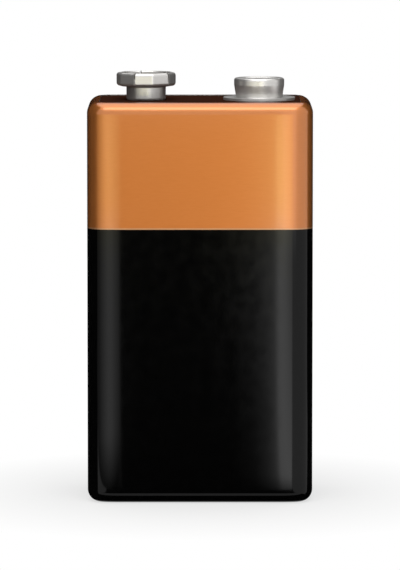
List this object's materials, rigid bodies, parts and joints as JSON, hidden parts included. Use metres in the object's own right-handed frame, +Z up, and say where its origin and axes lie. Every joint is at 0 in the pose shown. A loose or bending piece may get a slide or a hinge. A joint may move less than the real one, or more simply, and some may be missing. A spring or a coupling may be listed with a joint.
{
  "type": "nine volt battery",
  "caption": "Rectangular nine volt battery in a folded metal jacket, with a snap stud and a snap socket on top.",
  "frame": {"origin": "middle of the base, on the surface that the battery stands on", "axes": "+Z up along the height, front towards -Y, negative socket on -X, positive stud on +X"},
  "size_m": [0.0256, 0.0168, 0.0485],
  "materials": {
    "printed_tinplate": "glossy black and copper lacquer on tinplate",
    "cover_plastic": "moulded dark brown polypropylene, finely matted",
    "base_plastic": "moulded black polypropylene, finely matted",
    "nickel_plate": "bright nickel plate on drawn steel",
    "nickel_strip": "nickel-plated steel strip",
    "can_steel": "nickel-plated drawn steel",
    "seal_nylon": "natural nylon",
    "sleeve_film": "shrunk film",
    "fibre_card": "pressed fibre card",
    "liner_paper": "kraft paper"
  },
  "bodies": {
    "root": {"jacket": "printed_tinplate", "top_cover": "cover_plastic", "base_cover": "base_plastic", "positive_stud": "nickel_plate", "negative_socket": "nickel_plate", "positive_rivet": "nickel_plate", "negative_rivet": "nickel_plate", "positive_lead": "nickel_strip", "negative_lead": "nickel_strip", "top_insulator": "fibre_card", "bottom_insulator": "fibre_card", "liner": "liner_paper", "bottom_link_1": "nickel_strip", "bottom_link_2": "nickel_strip", "bottom_link_3": "nickel_strip", "top_link_1": "nickel_strip", "top_link_2": "nickel_strip", "cell_1_can": "can_steel", "cell_1_cap": "can_steel", "cell_1_seal": "seal_nylon", "cell_1_sleeve": "sleeve_film", "cell_2_can": "can_steel", "cell_2_cap": "can_steel", "cell_2_seal": "seal_nylon", "cell_2_sleeve": "sleeve_film", "cell_3_can": "can_steel", "cell_3_cap": "can_steel", "cell_3_seal": "seal_nylon", "cell_3_sleeve": "sleeve_film", "cell_4_can": "can_steel", "cell_4_cap": "can_steel", "cell_4_seal": "seal_nylon", "cell_4_sleeve": "sleeve_film", "cell_5_can": "can_steel", "cell_5_cap": "can_steel", "cell_5_seal": "seal_nylon", "cell_5_sleeve": "sleeve_film", "cell_6_can": "can_steel", "cell_6_cap": "can_steel", "cell_6_seal": "seal_nylon", "cell_6_sleeve": "sleeve_film"}
  },
  "joints": []
}
